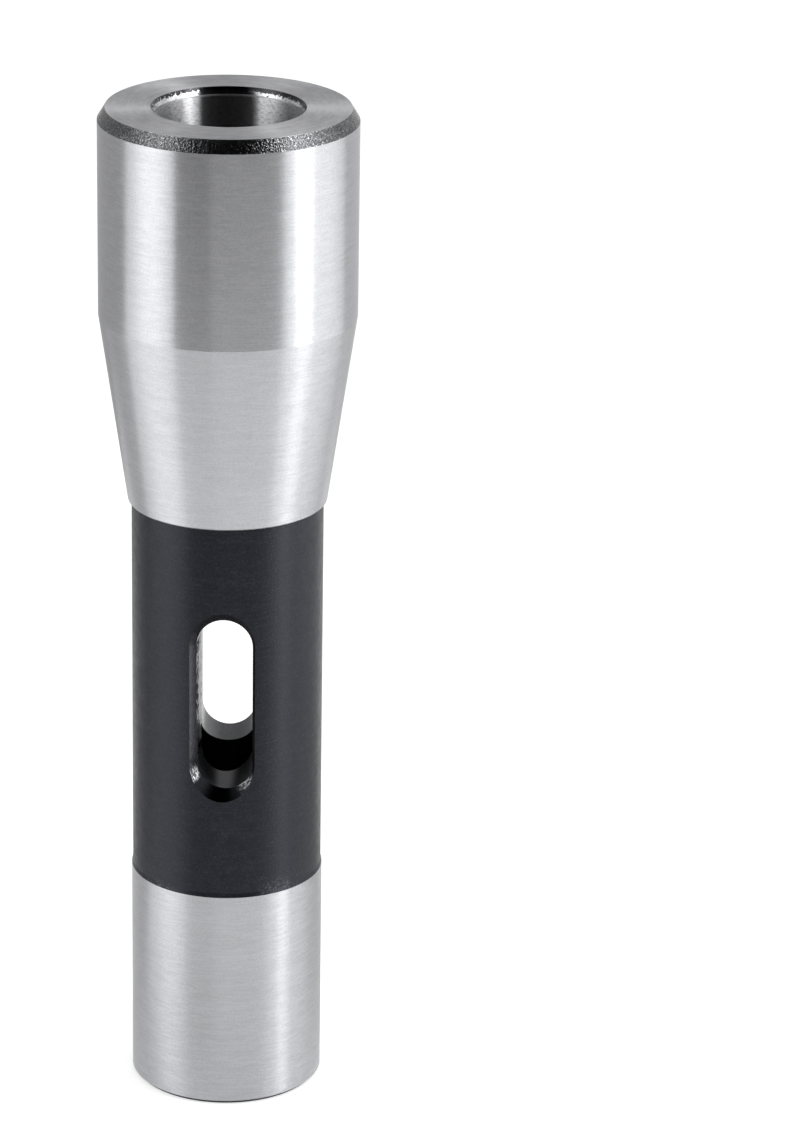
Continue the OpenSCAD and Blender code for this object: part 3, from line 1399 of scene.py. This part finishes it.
@dataclass
class Card:
    """A card bent round the bar, shown only in reflections, as photographers set beside bright metal."""

    name: str
    azimuths: tuple[float, float]
    profile: Sequence[tuple[float, float]]
    tone: float
    columns: int = 24

    def make(self) -> bpy.types.Object:
        """Makes the card: a profile of distances from the bar and heights, swept between two azimuths.

        Returns:
            The card, linked to the scene.
        """
        graph = Graph(self.name)
        # The card glows at its own tone instead of being lit by the lamps: it paints the light or dark that
        # the metal reflects there.
        glow = graph.node("ShaderNodeEmission", {}, {"Color": (*[self.tone] * 3, 1.0)})
        graph.node("ShaderNodeOutputMaterial", {}, {"Surface": glow.outputs[0]})
        turns = [math.radians(v) for v in np.linspace(*self.azimuths, self.columns + 1)]
        points = [(d * math.sin(t), -d * math.cos(t), z) for d, z in self.profile for t in turns]
        wide = len(turns)
        starts = [r * wide + c for r in range(len(self.profile) - 1) for c in range(self.columns)]
        faces = [(i, i + 1, i + wide + 1, i + wide) for i in starts]
        made = staged(self.name, graph, points, faces)
        made.visible_camera = False
        made.visible_diffuse = False
        made.visible_shadow = False
        made.visible_transmission = False
        return made


@dataclass
class Studio:
    """The pale floor, the white surroundings, the lamps and the cards of a product photograph.

    What the bar reflects of the floor carries painted light and shade of its own, placed in millimetres from
    the bar: painted shade near the bar, darkest behind it, a painted pool of light on its left, a painted dip
    in front on the left, and painted light in a ring behind.
    """

    floor_size: float = 8.0
    floor_tone: float = 0.8
    lift_reach: tuple[float, float] = (300.0, 900.0)
    floor_lift: tuple[float, float] = (0.6, 0.7)
    near_y: tuple[float, float] = (-20.0, 50.0)
    painted_near_shade: tuple[float, float] = (0.40, 0.10)
    left_x: tuple[float, float] = (-70.0, -30.0)
    left_y: tuple[float, float] = (0.0, 20.0)
    painted_left_light: float = 0.28
    dip_left: tuple[float, float] = (-50.0, -35.0)
    dip_right: tuple[float, float] = (-15.0, 0.0)
    dip_y: tuple[float, float] = (-30.0, -15.0)
    painted_dip_depth: float = 0.2
    behind_turn: tuple[float, float] = (0.62, 0.85)
    behind_reach: tuple[float, float] = (70.0, 100.0)
    painted_behind_light: float = 0.4
    far_reach: tuple[float, float] = (70.0, 180.0)
    floor_far: float = 0.75
    ambient: float = 0.4
    mirrored: float = 0.8
    target: tuple[float, float, float] = (0.0, 0.0, 0.065)

    def floor(self) -> bpy.types.Object:
        """Makes the pale floor, which looks white and keeps the bar's shadow.

        Returns:
            The floor, linked to the scene.
        """
        graph = Graph("pale_floor")
        paper = graph.node("ShaderNodeBsdfDiffuse", {}, {"Color": (*[self.floor_tone] * 3, 1.0)})
        x, y, _ = graph.axes()
        from_bar = (x * x + y * y).root()
        # These stretches are seen only in reflections: painted shade near the bar and in a dip in front on
        # the left, painted light on the left and in a ring behind.
        lit_left = x.ramp(*self.left_x, self.painted_left_light, 0.0) * y.ramp(*self.left_y, 1.0, 0.0)
        painted_dip = x.ramp(*self.dip_left) * x.ramp(*self.dip_right, 1.0, 0.0)
        painted_dip = painted_dip * y.ramp(*self.dip_y, self.painted_dip_depth, 0.0)
        behind = (y / from_bar).ramp(*self.behind_turn)
        behind = behind * from_bar.ramp(*self.behind_reach, 0.0, self.painted_behind_light)
        near = y.ramp(*self.near_y, *self.painted_near_shade) + lit_left - painted_dip + behind
        painted_reflected_floor = near + (self.floor_far - near) * (from_bar - y).ramp(*self.far_reach)
        camera, others = graph.background_rays()
        lift = from_bar.ramp(*self.lift_reach, *self.floor_lift)
        glow = graph.node("ShaderNodeEmission", {}, {"Strength": camera * lift + others * painted_reflected_floor})
        both = graph.node("ShaderNodeAddShader", {}, {0: paper.outputs[0], 1: glow.outputs[0]})
        graph.node("ShaderNodeOutputMaterial", {}, {"Surface": both.outputs[0]})
        half = self.floor_size / 2
        corners = [(-half, -half, 0), (half, -half, 0), (half, half, 0), (-half, half, 0)]
        return staged("pale_floor", graph, corners, [(0, 1, 2, 3)])

    def surroundings(self) -> None:
        """Sets the world: white to the camera and in reflections, and a plain level of light elsewhere."""
        world = bpy.data.worlds.new("studio")
        bpy.context.scene.world = world
        graph = Graph(owner=world)
        camera, others = graph.background_rays()
        level = camera * (1.0 - self.ambient) + others * (self.mirrored - self.ambient) + self.ambient
        sky = graph.node("ShaderNodeBackground", {}, {"Color": (1.0, 1.0, 1.0, 1.0), "Strength": level})
        graph.node("ShaderNodeOutputWorld", {}, {"Surface": sky.outputs[0]})

    def build(self) -> None:
        """Builds the floor, the surroundings, the lamps and the cards."""
        self.floor()
        self.surroundings()
        lamps = [
            Softbox("left_softbox", -68.5, width=0.63, radiance=1.58, near_fade=0.4, far_fade=0.42),
            Softbox("right_softbox", 70.5, width=0.22, radiance=4.5, near_fade=0.1, far_fade=0.1),
            Softbox("right_back_softbox", 100.0, width=0.48, radiance=0.85, near_fade=0.05, far_fade=0.5),
        ]
        for lamp in lamps:
            lamp.make(Vector(self.target))
            log.info("lamp %s", lamp.name)
        cards = [
            Card("front_left_floor_card", (-46.0, -13.0), ((0.23, 0.004), (0.85, 0.004)), 0.14),
            Card("front_right_floor_card", (-13.0, 51.0), ((0.24, 0.004), (0.85, 0.004)), 0.40),
            Card("front_card", (-46.0, 48.0), ((0.85, 0.004), (0.9, 0.6)), 0.01),
            Card("high_front_card", (-62.0, 56.0), ((0.9, 0.6), (0.9, 1.0), (0.1, 1.1)), 0.01),
            Card("back_card", (140.0, 210.0), ((1.2, 0.1), (1.2, 0.9)), 0.55),
            Card("high_back_card", (120.0, 240.0), ((1.2, 0.9), (0.6, 1.15)), 0.9),
            Card("ceiling_card", (0.0, 360.0), ((0.6, 1.15), (0.01, 1.2)), 0.03),
            Card("left_back_card", (-165.0, -99.0), ((0.2, 0.004), (0.9, 0.004), (0.9, 0.9)), 0.48),
            Card("right_back_card", (122.0, 165.0), ((0.2, 0.004), (0.9, 0.004), (0.9, 1.2)), 0.7),
        ]
        for card in cards:
            card.make()


@dataclass
class PhotoCamera:
    """The camera at the photograph's viewing angle: lengths in millimetres, angles in degrees."""

    distance: float = 573.24
    height: float = 282.67
    azimuth: float = 1.7
    yaw: float = 0.445
    pitch: float = 20.491
    roll: float = 0.896
    focal_pixels: float = 4915.0
    frame_height: float = 1136.0
    sensor: float = 36.0
    clip_start: float = 10.0
    clip_end: float = 20000.0

    def build(self) -> bpy.types.Object:
        """Makes the scene's camera.

        Returns:
            The camera, linked to the scene.
        """
        data = bpy.data.cameras.new("photo_camera")
        data.sensor_width = self.sensor
        data.lens = self.sensor * self.focal_pixels / self.frame_height
        data.clip_start = self.clip_start * MM
        data.clip_end = self.clip_end * MM
        turn, yaw, pitch, roll = (math.radians(v) for v in (self.azimuth, self.yaw, self.pitch, self.roll))
        ahead = Vector((math.sin(yaw) * math.cos(pitch), math.cos(yaw) * math.cos(pitch), -math.sin(pitch)))
        level = Vector((math.cos(yaw), -math.sin(yaw), 0.0))
        upright = level.cross(ahead)
        right = level * math.cos(roll) + upright * math.sin(roll)
        up = upright * math.cos(roll) - level * math.sin(roll)
        made = bpy.data.objects.new("photo_camera", data)
        made.rotation_mode = "QUATERNION"
        made.rotation_quaternion = Matrix((right, up, -ahead)).transposed().to_quaternion()
        stand = Vector((self.distance * math.sin(turn), -self.distance * math.cos(turn), self.height))
        made.location = stand * MM
        bpy.context.collection.objects.link(made)
        bpy.context.scene.camera = made
        return made


def main() -> None:
    """Builds the camera, the studio and the adapter, and ties the adapter to the frame."""
    logging.basicConfig(level=logging.INFO, format="%(name)s: %(message)s")
    PhotoCamera().build()
    Studio().build()
    adapter = AdapterBody()
    body = adapter.build()
    adapter.dress(body)
    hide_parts("adapter_body")
    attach(body, "root")
    log.info("piece %s dressed", body.name)
    bpy.context.scene.view_settings.view_transform = "Standard"


if __name__ == "__main__":
    main()
